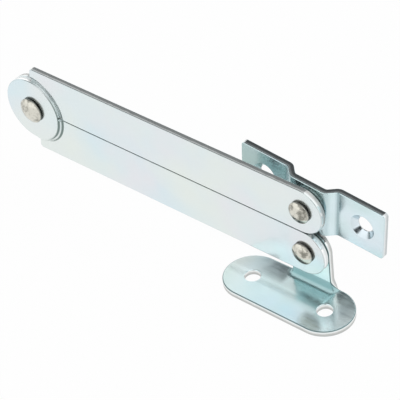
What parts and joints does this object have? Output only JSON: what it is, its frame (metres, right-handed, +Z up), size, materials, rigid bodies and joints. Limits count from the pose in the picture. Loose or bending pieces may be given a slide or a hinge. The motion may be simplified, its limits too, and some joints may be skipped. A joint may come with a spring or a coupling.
{
  "type": "lid stay",
  "caption": "Folding lid stay: flat plated steel arms joined by a pressed knuckle and rivet, with an offset wall bracket riveted to one arm and an angled foot plate riveted to the other.",
  "frame": {"origin": "centre of the foot plate's screw pattern, on the plate's underside", "axes": "+Z up from the foot plate, +X along the folded arms from the knuckle towards the pivots, +Y back towards the wall that the bracket screws to"},
  "size_m": [0.1505, 0.022, 0.0443],
  "materials": {
    "zinc_plate": "bright blue-passivated zinc plate on pressed steel strip",
    "rivet_steel": "plated steel rivet, headed cold",
    "washer_steel": "plated plain washer"
  },
  "bodies": {
    "foot": {"foot_plate": "zinc_plate", "foot_rivet": "rivet_steel", "foot_washer": "washer_steel"},
    "lower": {"lower_arm": "zinc_plate"},
    "upper": {"upper_arm": "zinc_plate", "knuckle_rivet": "rivet_steel"},
    "bracket": {"wall_bracket": "zinc_plate", "bracket_rivet": "rivet_steel", "bracket_washer": "washer_steel"}
  },
  "joints": [
    {"name": "foot_pivot", "type": "hinge", "parent": "foot", "child": "lower", "pos_m": [0.0036, 0.00545, 0.017], "axis": [0, -1, 0], "range_deg": [-45, 0]},
    {"name": "knuckle", "type": "hinge", "parent": "lower", "child": "upper", "pos_m": [-0.1084, 0.00545, 0.02515], "axis": [0, -1, 0], "range_deg": [0, 180]},
    {"name": "bracket_pivot", "type": "hinge", "parent": "upper", "child": "bracket", "pos_m": [0.0036, 0.00545, 0.0333], "axis": [0, -1, 0], "range_deg": [-45, 0]}
  ],
  "couplings": [
    {"joint": "foot_pivot", "follows": "knuckle", "ratio": -0.25},
    {"joint": "bracket_pivot", "follows": "knuckle", "ratio": -0.25}
  ]
}
